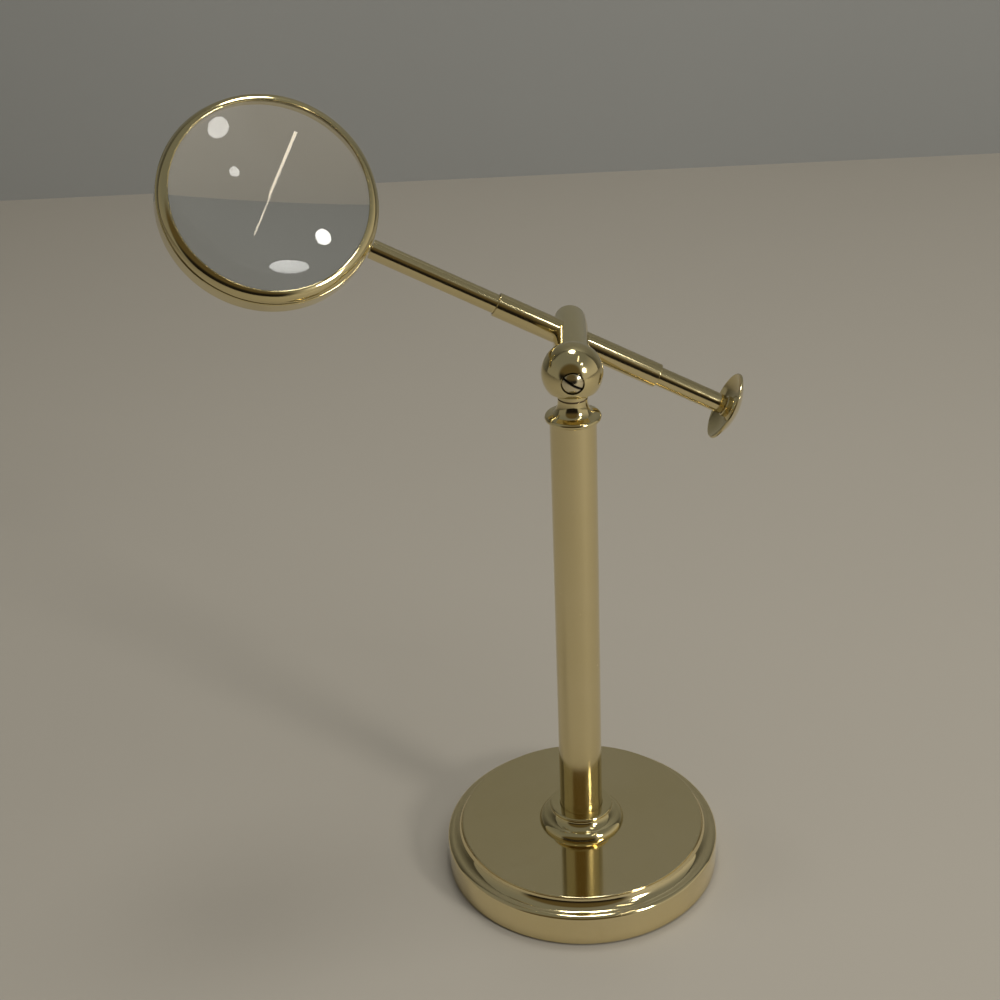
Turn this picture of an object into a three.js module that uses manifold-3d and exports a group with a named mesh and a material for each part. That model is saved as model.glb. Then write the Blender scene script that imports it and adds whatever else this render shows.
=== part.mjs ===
// Bench magnifier in lacquered brass: a framed lens on a sliding rod, on a tilting tube, on a ball-headed column.
// Millimetres, +Z up. The origin is the centre of the baize's underside, where the stand meets the table.
import * as THREE from "three";
import { mergeVertices } from "three/addons/utils/BufferGeometryUtils.js";
import Module from "manifold-3d";

// Base
const base_radius = 54;
const base_height = 18.1;
const base_wall = 2.4;
const platform_set = 6.3;
const platform_thickness = 2;
const shoulder_bottom = 12.2;
const shoulder_height = 1.4;
const cove_width = 4.2;
const cove_rise = 0.4;
const rim_lift = 0.4;
const foot_round = 0.5;
const arris = 0.3;
const baize_thickness = 1.6;
const ballast_slack = 0.8;
const ballast_step = 2.6;

// Clamping bolt under the column
const bolt_radius = 2.4;
const bolt_hole_radius = 2.6;
const bolt_reach = 11;
const bolt_flats = 9.5;
const bolt_head_height = 3.8;
const washer_radius = 8;
const washer_thickness = 1.2;
const counterbore_radius = 9;
const counterbore_top = 7.4;

// Column
const column_radius = 8.35;
const column_wall = 1.2;
const column_length = 176.5;
const plug_length = 15.9;
const plug_end_wall = 2;
const tube_fit = 0.12;

// Foot collar
const collar_radius = 16.8;
const collar_round = 3.2;
const collar_height = 7.9;
const collar_lip_radius = 12.4;
const collar_lip_height = 1.5;
const collar_waist = 11.2;
const collar_blend = THREE.MathUtils.degToRad(76);

// Capital
const cap_height = 8.25;
const cap_bead_radius = 10.05;
const cap_bead_height = 2.2;
const cap_neck_radius = 5.3;
const cap_neck_height = 7.7;
const cap_hollow_width = 3;
const cap_land_height = 0.5;
const cap_blend = THREE.MathUtils.degToRad(68);
const spigot_length = 10;

// Swivel under the ball
const stem_radius = 3.05;
const stem_clearance = 0.06;
const stem_thread_radius = 2.4;
const swivel_washer_set = 0.2;
const swivel_washer_thickness = 0.5;
const nut_flats = 9;
const nut_height = 4.4;
const face_clearance = 0.05;

// Ball head
const ball_radius = 10.85;
const ball_flat_depth = 6.2;
const ball_seat_depth = 9.1;
const ball_back_flat = 8.4;
const journal_radius = 3.64;
const journal_clearance = 0.06;
const screw_recess_gap = 0.6;
const screw_recess_floor = 4.2;

// Tilt screw, its spring and the washer behind the ball
const screw_head_radius = 3.5;
const screw_head_edge = 3.2;
const screw_dome = 0.95;
const screw_shank_radius = 1.6;
const screw_shank_length = 11.5;
const slot_width = 0.95;
const slot_depth = 1.5;
const slot_angle = THREE.MathUtils.degToRad(28);
const spring_thickness = 0.6;
const spring_set = 0.2;
const tilt_washer_radius = 6.3;
const tilt_washer_thickness = 0.5;

// Spindle and the tube that it carries
const spindle_radius = 6.5;
const spindle_end_radius = 5.9;
const spindle_length = 40.8;
const spindle_taper_length = 9.9;
const spindle_round = 1;
const tap_fit = 0.1;
const socket_offset = 32;
const socket_radius = 4.5;
const socket_wall = 0.42;
const socket_front = 29.9;
const socket_back = 35.6;
const socket_lip = 0.8;
const socket_lip_clearance = 0.25;
const arm_tilt = THREE.MathUtils.degToRad(27.2);

// Split friction sleeve
const sleeve_fit = 0.06;
const sleeve_slit = 1;

// Rod and knob
const rod_radius = 3.6;
const rod_length = 141.4;
const rod_clearance = 0.08;
const tenon_fit = 0.1;
const front_tenon_radius = 1.6;
const front_tenon_length = 2.4;
const back_tenon_radius = 2;
const back_tenon_length = 4;
const knob_radius = 13;
const knob_rim = 1.4;
const knob_depth = 5.1;
const knob_wall = 1.45;
const knob_hub_radius = 3.95;
const knob_hub_floor_radius = 5;
const knob_hub_stand = 0.2;
const knob_groove = 0.6;

// Lens and its frame
const lens_reach = 118.25;
const lens_twist = THREE.MathUtils.degToRad(43.2);
const cell_wall = 0.85;
const cell_back = 4.3;
const cell_front = 4.05;
const cell_ledge = 2.1;
const ledge_width = 1;
const cell_round = 1.6;
const joint_gap = 0.3;
const glass_radius = 37;
const glass_edge = 3.2;
const glass_curve = 177;
const glass_back = 2.85;
const packing_gap = 0.1;
const skirt_clearance = 0.25;
const bezel_skirt_wall = 0.8;
const bezel_set = 0.45;
const bezel_height = 3.6;
const bezel_lap = 2.1;
const bezel_lip_thickness = 0.75;
const bezel_seam = 0.25;

// One length that every cut runs past the surface it opens
const overrun = 2;

// Steps round each kind of turned piece
const sides_large = 48;
const sides_medium = 30;
const sides_small = 20;
const arc_steps = 6;

const wasm = await Module();
wasm.setup();

// Finishes
const brass = () => new THREE.MeshStandardMaterial({ color: 0xb99a55, roughness: 0.16, metalness: 1 });
const dull_brass = () => new THREE.MeshStandardMaterial({ color: 0x9c8350, roughness: 0.4, metalness: 1 });
const iron = () => new THREE.MeshStandardMaterial({ color: 0x3b3a38, roughness: 0.7, metalness: 0.8 });
const steel = () => new THREE.MeshStandardMaterial({ color: 0x8d8f90, roughness: 0.35, metalness: 1 });
const baize = () => new THREE.MeshStandardMaterial({ color: 0x23392b, roughness: 1, metalness: 0 });
const fibre = () => new THREE.MeshStandardMaterial({ color: 0x4a3324, roughness: 0.9, metalness: 0 });
const glass = () =>
  new THREE.MeshStandardMaterial({ color: 0xf3f6f2, roughness: 0.02, metalness: 0, transparent: true, opacity: 0.3 });

// A closed geometry as a solid, with its doubled vertices joined and its empty triangles left out.
function solid(geometry) {
  const bare = new THREE.BufferGeometry();
  const source = geometry.index ? geometry.toNonIndexed() : geometry;
  bare.setAttribute("position", source.getAttribute("position"));
  const merged = mergeVertices(bare);
  const corners = merged.index.array;
  const kept = [];
  for (let i = 0; i < corners.length; i += 3) {
    const [a, b, c] = [corners[i], corners[i + 1], corners[i + 2]];
    if (a !== b && b !== c && c !== a) kept.push(a, b, c);
  }
  return new wasm.Manifold(
    new wasm.Mesh({
      numProp: 3,
      vertProperties: merged.attributes.position.array,
      triVerts: new Uint32Array(kept),
    }),
  );
}

// A solid back as a geometry with normals.
function surface(body) {
  const mesh = body.getMesh();
  const geometry = new THREE.BufferGeometry();
  geometry.setAttribute("position", new THREE.BufferAttribute(mesh.vertProperties, 3));
  geometry.setIndex(new THREE.BufferAttribute(mesh.triVerts, 1));
  geometry.computeVertexNormals();
  return geometry;
}

// A profile of [radius, height] pairs, turned about +Z. It runs anticlockwise, and closes where it began.
function turned(profile, sides) {
  const points = profile.map(([r, z]) => new THREE.Vector2(r, z));
  const [first, last] = [points[0], points[points.length - 1]];
  if (first.x > 0 || last.x > 0) points.push(first.clone());
  return new THREE.LatheGeometry(points, sides).rotateX(Math.PI / 2);
}

// Points along a quarter or other part of an ellipse, from one angle to another.
function arc(centre_r, centre_z, radius_r, radius_z, from, to, steps = arc_steps) {
  return Array.from({ length: steps + 1 }, (_, i) => {
    const angle = from + ((to - from) * i) / steps;
    return [centre_r + radius_r * Math.cos(angle), centre_z + radius_z * Math.sin(angle)];
  });
}

// A plain ring or washer.
const ring = (inner, outer, bottom, top, sides) =>
  turned([[inner, bottom], [outer, bottom], [outer, top], [inner, top]], sides);

// A plain round bar on the axis, used for cuts.
const bar = (radius, bottom, top, sides) => turned([[0, bottom], [radius, bottom], [radius, top], [0, top]], sides);

// A hexagonal prism across its flats, with or without a round hole.
function hexagon(flats, height, hole) {
  const corner = flats / 2 / Math.cos(Math.PI / 6);
  const outline = new THREE.Shape(
    Array.from({ length: 6 }, (_, i) => {
      const angle = (i * Math.PI) / 3;
      return new THREE.Vector2(corner * Math.cos(angle), corner * Math.sin(angle));
    }),
  );
  if (hole) outline.holes.push(new THREE.Path().absarc(0, 0, hole, 0, 2 * Math.PI, true));
  return new THREE.ExtrudeGeometry(outline, { depth: height, bevelEnabled: false, curveSegments: sides_small });
}

function piece(name, geometry, material) {
  const mesh = new THREE.Mesh(geometry, material);
  mesh.name = name;
  return mesh;
}

// Heights and places that follow from the sizes above
const platform_radius = base_radius - platform_set;
const platform_underside = base_height - platform_thickness;
const shoulder_top = shoulder_bottom + shoulder_height;
const base_inner = base_radius - base_wall;
const column_inner = column_radius - column_wall;
const column_top = base_height + column_length;
const plug_radius = column_inner - tube_fit;
const cap_top = column_top + cap_height;
const cap_bore = stem_radius + stem_clearance;
const pivot_height = cap_top + swivel_washer_thickness + face_clearance + ball_seat_depth;
const spigot_bottom = column_top - spigot_length;
const ball_bore = journal_radius + journal_clearance;
const screw_recess_radius = screw_head_radius + screw_recess_gap;
const screw_seat = screw_recess_floor + spring_thickness + 2 * face_clearance;
const tap_radius = screw_shank_radius + tap_fit;
const spindle_start = ball_back_flat + tilt_washer_thickness + 2 * face_clearance;
const spindle_end = spindle_start + spindle_length;
const journal_end = screw_recess_floor - joint_gap;
const socket_bore = socket_radius - socket_wall;
const cell_bore = glass_radius - ledge_width;
const cell_recess = glass_radius + skirt_clearance + bezel_skirt_wall + packing_gap * 1.5;
const cell_radius = cell_recess + cell_wall;
const rod_front = lens_reach - cell_radius - joint_gap;
const rod_back = rod_front - rod_length;
const knob_front = rod_back - knob_groove;

// Base: a hollow dish with a straight wall, a rounded shoulder, and a cove that rises to the platform's edge.
function baseShell() {
  const cove_end = platform_radius + cove_width;
  const cove_depth = base_height + cove_rise - shoulder_top;
  const inner_top = platform_radius - base_wall;
  const inner_shoulder = shoulder_top - base_wall;
  const profile = [
    [base_inner, rim_lift],
    [base_radius - foot_round, rim_lift],
    [base_radius, rim_lift + foot_round],
    [base_radius, shoulder_bottom - arris],
    ...arc(
      cove_end,
      shoulder_bottom - arris / 2,
      base_radius - cove_end,
      shoulder_height + arris / 2,
      Math.PI / 10,
      Math.PI / 2,
      arc_steps - 2,
    ),
    ...arc(cove_end, base_height + cove_rise, cove_width, cove_depth, -Math.PI / 2, Math.PI / 12 - Math.PI).slice(1),
    [platform_radius + arris / 2, base_height - arris / 2],
    [platform_radius - arris / 2, base_height],
    [bolt_hole_radius, base_height],
    [bolt_hole_radius, platform_underside],
    [inner_top, platform_underside],
    [inner_top, inner_shoulder],
    [cove_end - base_wall, inner_shoulder],
    [base_inner, inner_shoulder - base_wall],
  ];
  return piece("base_shell", turned(profile, sides_large), brass());
}

// Ballast: an iron slug that follows the inside of the base, with a recess for the bolt's head.
function baseBallast() {
  const low_radius = base_inner - ballast_slack;
  const low_top = shoulder_top - base_wall - ballast_slack;
  const core_radius = platform_radius - base_wall - ballast_slack;
  const profile = [
    [counterbore_radius, baize_thickness],
    [low_radius, baize_thickness],
    [low_radius, low_top - ballast_step],
    [platform_radius + cove_width - base_wall - ballast_slack, low_top],
    [core_radius, low_top],
    [core_radius, platform_underside],
    [bolt_hole_radius, platform_underside],
    [bolt_hole_radius, counterbore_top],
    [counterbore_radius, counterbore_top],
  ];
  return piece("base_ballast", turned(profile, sides_medium), iron());
}

function baseBaize() {
  const disc = bar(base_inner - face_clearance * 4, 0, baize_thickness, sides_large);
  return piece("base_baize", disc, baize());
}

// Bolt: its head pulls on the washer in the ballast's recess, and its shank runs up into the plug.
function baseBolt() {
  const head_top = counterbore_top - washer_thickness;
  const head = hexagon(bolt_flats, bolt_head_height).translate(0, 0, head_top - bolt_head_height);
  const tip = base_height + bolt_reach;
  const shank = turned(
    [
      [0, head_top - bolt_head_height / 2],
      [bolt_radius, head_top - bolt_head_height / 2],
      [bolt_radius, tip - bolt_radius / 3],
      [bolt_radius * 2 / 3, tip],
      [0, tip],
    ],
    sides_small,
  );
  return piece("base_bolt", surface(solid(head).add(solid(shank))), steel());
}

function baseWasher() {
  const washer = ring(bolt_hole_radius, washer_radius, counterbore_top - washer_thickness, counterbore_top, sides_small);
  return piece("base_washer", washer, steel());
}

// Foot collar: a bold quarter round on the platform, swept up through a hollow to a narrow waist, and a thin lip
// with a flat top that stands out over it.
function footCollar() {
  const bore = column_radius + tube_fit;
  const lip_round = collar_lip_height / 2;
  const waist_height = collar_height - collar_lip_height;
  const round_end = collar_radius - collar_round * (1 - Math.cos(collar_blend));
  const hollow_width = (round_end - collar_waist) / (1 - Math.cos(collar_blend));
  const hollow_height = waist_height / Math.sin(collar_blend) - collar_round;
  const profile = [
    [bore, 0],
    ...arc(collar_radius - collar_round, 0, collar_round, collar_round, 0, collar_blend),
    ...arc(
      collar_waist + hollow_width,
      waist_height,
      hollow_width,
      hollow_height,
      collar_blend - Math.PI,
      -Math.PI,
    ).slice(1),
    ...arc(
      collar_lip_radius - lip_round,
      collar_height - lip_round,
      lip_round,
      lip_round,
      -Math.PI / 2,
      Math.PI / 2,
      arc_steps - 2,
    ),
    [bore + arris, collar_height],
    [bore, collar_height - arris],
  ];
  const mesh = piece("foot_collar", turned(profile, sides_medium), brass());
  mesh.position.z = base_height;
  return mesh;
}

function columnPlug() {
  const chamfer = arris;
  const profile = [
    [bolt_hole_radius, 0],
    [plug_radius, 0],
    [plug_radius, plug_length - chamfer],
    [plug_radius - chamfer, plug_length],
    [0, plug_length],
    [0, plug_length - plug_end_wall],
    [bolt_hole_radius, plug_length - plug_end_wall - bolt_hole_radius / 2],
  ];
  const mesh = piece("column_foot_plug", surface(solid(turned(profile, sides_small))), dull_brass());
  mesh.position.z = base_height;
  return mesh;
}

function columnTube() {
  const tube = ring(column_inner, column_radius, base_height, column_top, sides_medium);
  return piece("column_tube", tube, brass());
}

// Capital: a bead over the end of the column, a sloping land and a hollow up to the neck, and a spigot in the tube.
function columnCap() {
  const bead_half = cap_bead_height / 2;
  const land_end = cap_neck_radius + cap_hollow_width * (1 - Math.cos(cap_blend));
  const land_top = cap_bead_height + cap_land_height;
  const profile = [
    [cap_bore, -spigot_length],
    [plug_radius - arris, -spigot_length],
    [plug_radius, arris - spigot_length],
    [plug_radius, 0],
    ...arc(cap_bead_radius - bead_half, bead_half, bead_half, bead_half, -Math.PI / 2, Math.PI * 3 / 8),
    [land_end, land_top],
    ...arc(
      cap_neck_radius + cap_hollow_width,
      cap_neck_height,
      cap_hollow_width,
      (cap_neck_height - land_top) / Math.sin(cap_blend),
      cap_blend - Math.PI,
      -Math.PI,
    ).slice(1),
    [cap_neck_radius, cap_height],
    [cap_bore, cap_height],
  ];
  const mesh = piece("column_cap", turned(profile, sides_medium), brass());
  mesh.position.z = column_top;
  return mesh;
}

function swivelWasher() {
  const washer = ring(
    stem_radius + 2 * stem_clearance,
    cap_neck_radius - swivel_washer_set,
    cap_top,
    cap_top + swivel_washer_thickness,
    sides_small,
  );
  return piece("swivel_washer", washer, fibre());
}

// Ball head: a ball on a short neck and a stem, flat behind, bored across for the journal and recessed in front.
function pivotBall() {
  const stem_shoulder = spigot_bottom - face_clearance - pivot_height;
  const stem_tip = stem_shoulder - nut_height - stem_thread_radius / 2;
  const flat_angle = Math.asin(ball_flat_depth / ball_radius);
  const profile = [
    [0, stem_tip],
    [stem_thread_radius - arris, stem_tip],
    [stem_thread_radius, stem_tip + arris],
    [stem_thread_radius, stem_shoulder],
    [stem_radius, stem_shoulder],
    [stem_radius, -ball_seat_depth],
    [cap_neck_radius, -ball_seat_depth],
    [cap_neck_radius, -ball_flat_depth],
    ...arc(0, 0, ball_radius, ball_radius, -flat_angle, Math.PI / 2, 2 * arc_steps + 1),
  ];
  profile[profile.length - 1][0] = 0;
  const journal_bore = bar(ball_bore, -ball_radius - overrun, ball_radius + overrun, sides_small);
  const recess = bar(screw_recess_radius, -ball_radius - overrun, -screw_recess_floor, sides_small);
  const back_face = bar(ball_radius, ball_back_flat, ball_radius + overrun, sides_small);
  const cuts = [journal_bore, recess, back_face].map((cut) => solid(cut.rotateX(-Math.PI / 2)));
  const body = cuts.reduce((rest, cut) => rest.subtract(cut), solid(turned(profile, sides_medium)));
  return piece("pivot_ball", surface(body), brass());
}

function swivelNut() {
  const nut = hexagon(nut_flats, nut_height, stem_thread_radius + tap_fit);
  const top = spigot_bottom - 2 * face_clearance - pivot_height;
  return piece("swivel_nut", nut.translate(0, 0, top - nut_height), dull_brass());
}

// The pieces below are turned about the tilt axis: their +Z points from the screw to the far end of the spindle.
function tiltWasher() {
  const start = ball_back_flat + face_clearance;
  const washer = ring(ball_bore, tilt_washer_radius, start, start + tilt_washer_thickness, sides_small);
  return piece("tilt_washer", washer, fibre());
}

function tiltSpring() {
  const top = -screw_recess_floor - face_clearance;
  const spring = ring(tap_radius, screw_head_radius - spring_set, top - spring_thickness, top, sides_small);
  return piece("tilt_spring", spring, steel());
}

// Tilt screw: a domed head with a sawn slot, and a shank into the spindle's journal.
function tiltScrew() {
  const rim = -screw_seat - screw_head_edge;
  const tip = screw_shank_length - screw_seat;
  const dome = arc(0, rim, screw_head_radius - arris / 2, screw_dome, -Math.PI / 2, -Math.PI / 16);
  dome[0][0] = 0;
  const profile = [
    ...dome,
    [screw_head_radius, rim + arris / 2],
    [screw_head_radius, -screw_seat],
    [screw_shank_radius, -screw_seat],
    [screw_shank_radius, tip - arris],
    [screw_shank_radius - arris, tip],
    [0, tip],
  ];
  const slot_height = slot_depth + overrun;
  const slot = new THREE.BoxGeometry(2 * (screw_head_radius + overrun), slot_width, slot_height)
    .translate(0, 0, rim - screw_dome + slot_depth - slot_height / 2)
    .rotateZ(slot_angle);
  return piece("tilt_screw", surface(solid(turned(profile, sides_small)).subtract(solid(slot))), brass());
}

// Spindle: a bar with a journal in front, a long plain body, and a short taper and rounding at its far end.
function tiltSpindle() {
  const tap_bottom = screw_shank_length - screw_seat + 2 * tap_radius;
  const profile = [
    [tap_radius, -journal_end],
    [journal_radius - arris, -journal_end],
    [journal_radius, arris - journal_end],
    [journal_radius, spindle_start],
    [spindle_radius - arris, spindle_start],
    [spindle_radius, spindle_start + arris],
    [spindle_radius, spindle_end - spindle_taper_length],
    ...arc(spindle_end_radius - spindle_round, spindle_end - spindle_round, spindle_round, spindle_round, 0, Math.PI / 2, 3),
    [0, spindle_end],
    [0, tap_bottom],
    [tap_radius, tap_bottom - tap_radius],
  ];
  const reach = spindle_radius + overrun;
  const cross_hole = bar(socket_radius + tenon_fit, -reach, reach, sides_small)
    .rotateY(Math.PI / 2)
    .translate(0, 0, socket_offset);
  return piece("tilt_spindle", surface(solid(turned(profile, sides_medium)).subtract(solid(cross_hole))), brass());
}

// The pieces below lie along the rod: their +Z points from the knob to the lens.
// Tube: a thin wall, with a lip spun in at each end that keeps the sleeve inside.
function socketTube() {
  const lip = rod_radius + socket_lip_clearance;
  const edge = socket_wall / 2;
  const profile = [
    [lip, -socket_back],
    [socket_radius - edge, -socket_back],
    [socket_radius, edge - socket_back],
    [socket_radius, socket_front - edge],
    [socket_radius - edge, socket_front],
    [lip, socket_front],
    [lip, socket_front - socket_lip],
    [socket_bore, socket_front - socket_lip],
    [socket_bore, socket_lip - socket_back],
    [lip, socket_lip - socket_back],
  ];
  return piece("socket_tube", turned(profile, sides_small), brass());
}

// Sleeve: a spring lining, slit from end to end, that grips the rod.
function frictionSleeve() {
  const outer = socket_bore - sleeve_fit;
  const inner = rod_radius + rod_clearance;
  const bottom = 2 * face_clearance + socket_lip - socket_back;
  const top = socket_front - socket_lip - 2 * face_clearance;
  const slit = new THREE.BoxGeometry(outer + overrun, sleeve_slit, top - bottom + 2 * overrun).translate(
    (outer + overrun) / 2,
    0,
    (top + bottom) / 2,
  );
  const body = solid(ring(inner, outer, bottom, top, sides_small)).subtract(solid(slit));
  return piece("friction_sleeve", surface(body), dull_brass());
}

function slideRod() {
  const profile = [
    [0, rod_back - back_tenon_length],
    [back_tenon_radius, rod_back - back_tenon_length],
    [back_tenon_radius, rod_back],
    [rod_radius, rod_back],
    [rod_radius, rod_front],
    [front_tenon_radius, rod_front],
    [front_tenon_radius, rod_front + front_tenon_length],
    [0, rod_front + front_tenon_length],
  ];
  return piece("slide_rod", turned(profile, sides_small), brass());
}

// Knob: a thin dish, open towards the lens, on a short hub that a dark groove parts from the rod.
function fingerKnob() {
  const rim_top = knob_front - knob_hub_stand;
  const apex = rim_top - knob_depth;
  const edge = rim_top - knob_rim / 2;
  const rise = edge - apex;
  const back_curve = (knob_radius ** 2 + rise ** 2) / (2 * rise);
  const sweep = Math.asin(knob_radius / back_curve);
  const hole = back_tenon_radius + tenon_fit;
  const hole_floor = rod_back - back_tenon_length - joint_gap;
  const floor = apex + knob_wall + back_curve - Math.sqrt(back_curve ** 2 - knob_hub_floor_radius ** 2);
  const rim_inner = knob_radius - knob_rim / 2;
  const dish_top = rim_top - knob_rim / 6;
  const back = arc(0, apex + back_curve, back_curve, back_curve, -Math.PI / 2, sweep - Math.PI / 2, arc_steps + 2);
  back[0][0] = 0;
  const dish = Array.from({ length: arc_steps + 1 }, (_, i) => {
    const along = 1 - i / arc_steps;
    const r = knob_hub_floor_radius + (rim_inner - knob_hub_floor_radius) * along;
    return [r, floor + (dish_top - floor) * along ** 2];
  });
  const profile = [
    ...back,
    ...arc(knob_radius - knob_rim / 3, edge, knob_rim / 3, knob_rim / 2, 0, Math.PI / 2, arc_steps / 2).slice(1),
    ...dish,
    [knob_hub_radius, floor + (knob_hub_floor_radius - knob_hub_radius)],
    [knob_hub_radius, knob_front - arris],
    [knob_hub_radius - arris, knob_front],
    [hole, knob_front],
    [hole, hole_floor],
    [0, hole_floor],
  ];
  return piece("finger_knob", turned(profile, sides_medium), brass());
}

// The pieces below lie round the lens: their +Z is the lens axis, and the rod comes in from -Y.
// Cell: a deep ring with a ledge for the glass and a recess for the bezel's skirt, drilled for the rod's end.
function lensCell() {
  const profile = [
    [cell_bore, -cell_back],
    [cell_radius - cell_round, -cell_back],
    ...arc(cell_radius - cell_round, cell_round - cell_back, cell_round, cell_round, -Math.PI / 3, 0, 3),
    [cell_radius, cell_front - arris],
    [cell_radius - arris, cell_front],
    [cell_recess, cell_front],
    [cell_recess, cell_ledge],
    [cell_bore, cell_ledge],
  ];
  const floor = cell_radius - front_tenon_length;
  const socket = bar(front_tenon_radius + tenon_fit, floor, cell_radius + overrun, sides_small).rotateX(Math.PI / 2);
  return piece("lens_cell", surface(solid(turned(profile, sides_large)).subtract(solid(socket))), brass());
}

// Bezel: a quarter-round ring that laps the glass, with a skirt down into the cell's recess.
function bezelRing() {
  const bezel_lip_radius = glass_radius - bezel_lap;
  const seat = cell_front + bezel_seam;
  const skirt_outer = cell_recess - packing_gap * 1.5;
  const skirt_inner = skirt_outer - bezel_skirt_wall;
  const lip_bottom = seat + bezel_height - bezel_lip_thickness;
  const spread = cell_radius - bezel_set - bezel_lip_radius;
  const profile = [
    [skirt_inner, cell_ledge + 2 * joint_gap],
    [skirt_outer, cell_ledge + 2 * joint_gap],
    [skirt_outer, seat],
    ...arc(bezel_lip_radius, seat, spread, bezel_height, 0, Math.PI * 15 / 32),
    [bezel_lip_radius, seat + bezel_height - bezel_lip_thickness / 3],
    [bezel_lip_radius, lip_bottom],
    [skirt_inner - bezel_lip_thickness, lip_bottom - bezel_lip_thickness / 5],
    [skirt_inner, lip_bottom - bezel_lip_thickness * 6 / 5],
  ];
  return piece("bezel_ring", turned(profile, sides_large), brass());
}

// Packing: a thin ring on the ledge, low enough to clear the swell of the glass inside its edge.
function lensPacking() {
  const inner = cell_bore + 2 * packing_gap;
  const swell = Math.sqrt(glass_curve ** 2 - inner ** 2) - Math.sqrt(glass_curve ** 2 - glass_radius ** 2);
  const packing = ring(
    inner,
    glass_radius,
    cell_ledge + packing_gap,
    glass_back - swell - packing_gap,
    sides_medium,
  );
  return piece("lens_packing", packing, fibre());
}

// Glass: both faces are cut to the same sphere, and a straight edge runs between them.
function lensGlass() {
  const depth = glass_curve - Math.sqrt(glass_curve ** 2 - glass_radius ** 2);
  const sweep = Math.asin(glass_radius / glass_curve);
  const back_centre = glass_back - depth + glass_curve;
  const front_centre = glass_back + glass_edge + depth - glass_curve;
  const back = arc(0, back_centre, glass_curve, glass_curve, -Math.PI / 2, sweep - Math.PI / 2, arc_steps - 1);
  const front = arc(0, front_centre, glass_curve, glass_curve, Math.PI / 2 - sweep, Math.PI / 2, arc_steps - 1);
  back[0][0] = 0;
  front[front.length - 1][0] = 0;
  return piece("lens_glass", turned([...back, ...front], sides_large), glass());
}

// Assembly. Each group's own axis is the one its pieces are turned about.
const magnifier = new THREE.Group();
magnifier.add(
  baseShell(),
  baseBallast(),
  baseBaize(),
  baseBolt(),
  baseWasher(),
  footCollar(),
  columnPlug(),
  columnTube(),
  columnCap(),
  swivelWasher(),
);

const head = new THREE.Group();
head.position.z = pivot_height;
head.add(pivotBall(), swivelNut());
magnifier.add(head);

const tilt_axis = new THREE.Group();
tilt_axis.rotation.x = -Math.PI / 2;
tilt_axis.add(tiltWasher(), tiltSpring(), tiltScrew());
head.add(tilt_axis);

const spindle = tiltSpindle();
spindle.rotation.z = arm_tilt;
tilt_axis.add(spindle);

const rod_axis = new THREE.Group();
rod_axis.position.y = socket_offset;
rod_axis.rotation.y = arm_tilt - Math.PI / 2;
rod_axis.add(socketTube(), frictionSleeve(), slideRod(), fingerKnob());
head.add(rod_axis);

const lens_turn = new THREE.Group();
lens_turn.position.z = lens_reach;
lens_turn.rotation.z = lens_twist;
rod_axis.add(lens_turn);

const lens_frame = new THREE.Group();
lens_frame.rotation.x = Math.PI / 2;
lens_frame.add(lensCell(), bezelRing(), lensPacking(), lensGlass());
lens_turn.add(lens_frame);

export default magnifier;
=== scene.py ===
"""Bench magnifier in lacquered brass on a pale table, lit by soft lamps from the right and from above."""
import math

import bmesh
import bpy
import numpy as np
from mathutils import Matrix


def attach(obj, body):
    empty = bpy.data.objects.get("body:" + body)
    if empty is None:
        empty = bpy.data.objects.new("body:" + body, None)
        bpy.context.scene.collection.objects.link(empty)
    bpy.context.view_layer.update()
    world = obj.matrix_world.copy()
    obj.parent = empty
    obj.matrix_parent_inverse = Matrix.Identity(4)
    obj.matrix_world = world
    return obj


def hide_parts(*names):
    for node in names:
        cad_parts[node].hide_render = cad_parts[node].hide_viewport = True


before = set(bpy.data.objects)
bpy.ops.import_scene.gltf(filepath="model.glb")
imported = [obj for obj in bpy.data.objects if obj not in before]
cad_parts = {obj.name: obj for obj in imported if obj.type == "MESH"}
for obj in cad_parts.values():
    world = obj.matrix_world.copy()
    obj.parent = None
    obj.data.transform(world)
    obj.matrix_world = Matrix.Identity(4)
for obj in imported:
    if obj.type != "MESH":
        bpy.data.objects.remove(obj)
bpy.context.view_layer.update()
MM = 0.001


# Base
# A cast brass dish, turned and polished: a plain wall, a rounded edge, a cove and a raised flat platform.
# It sits over an iron slug, and its finish is an old clear lacquer that has yellowed a little.
def arc(centre, radii, start, stop, steps):
    """Points of an ellipse: centre + radii times (cos, sin) of angles that are spread evenly from start to
    stop, in degrees."""
    angle = np.radians(np.linspace(start, stop, steps))
    return np.column_stack([centre[0] + radii[0] * np.cos(angle), centre[1] + radii[1] * np.sin(angle)])


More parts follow.
